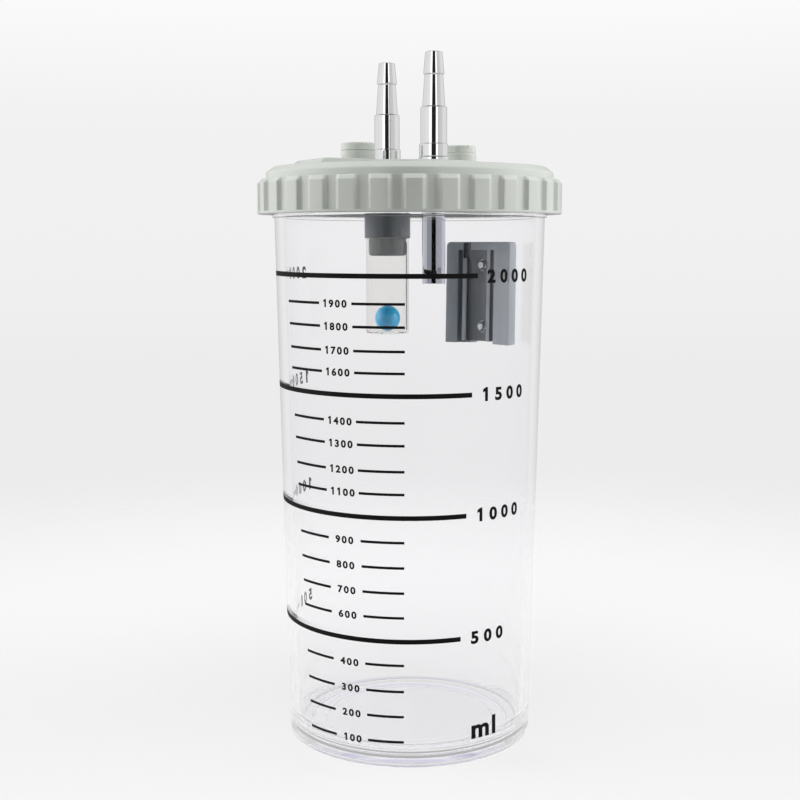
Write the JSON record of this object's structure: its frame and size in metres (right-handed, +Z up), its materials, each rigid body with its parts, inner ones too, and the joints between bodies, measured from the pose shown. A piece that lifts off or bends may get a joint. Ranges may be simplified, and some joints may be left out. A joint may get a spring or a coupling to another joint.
{
  "type": "suction canister",
  "caption": "Clear graduated suction jar with a scalloped screw ring, lid with stepped hose nozzles, ball float valve and rear hanging bracket.",
  "frame": {"origin": "centre of the jar's foot, on the surface it stands on", "axes": "+Z up along the jar's axis, -Y towards the middle of the printed scale, +Y towards the hanging bracket"},
  "size_m": [0.1382, 0.1382, 0.3105],
  "materials": {
    "clear_shell": "clear, polished",
    "clear_tube": "clear",
    "pale_grey_plastic": "moulded satin",
    "mid_grey_plastic": "moulded satin",
    "plated_metal": "bright plating",
    "plated_nut": "bright plating",
    "screw_steel": "bright",
    "seal_rubber": "matt silicone",
    "blue_plastic": "gloss"
  },
  "bodies": {
    "jar": {"jar": "clear_shell", "bracket": "mid_grey_plastic", "bracket_screws": "screw_steel"},
    "lid": {"lid": "pale_grey_plastic", "lid_gasket": "seal_rubber", "inlet_nozzle": "plated_metal", "inlet_washer": "plated_metal", "inlet_seal": "seal_rubber", "inlet_nut": "plated_nut", "vacuum_nozzle": "plated_metal", "vacuum_washer": "plated_metal", "vacuum_seal": "seal_rubber", "vacuum_nut": "plated_nut", "inlet_tube": "plated_metal", "valve_holder": "mid_grey_plastic", "valve_seat": "seal_rubber", "float_cage": "clear_tube", "front_port_cap": "pale_grey_plastic", "front_cap_seal": "seal_rubber", "rear_port_cap": "pale_grey_plastic", "rear_cap_seal": "seal_rubber"},
    "locking_ring": {"locking_ring": "pale_grey_plastic"},
    "float": {"float_ball": "blue_plastic"}
  },
  "joints": [
    {"name": "lid_lift", "type": "slide", "parent": "jar", "child": "lid", "axis": [0, 0, 1], "range_m": [0, 0.12]},
    {"name": "ring_turn", "type": "hinge", "parent": "lid", "child": "locking_ring", "pos_m": [0, 0, 0.25], "axis": [0, 0, 1], "range_deg": [0, 360]},
    {"name": "float_rise", "type": "slide", "parent": "lid", "child": "float", "axis": [0, 0, 1], "range_m": [0, 0.025]}
  ]
}
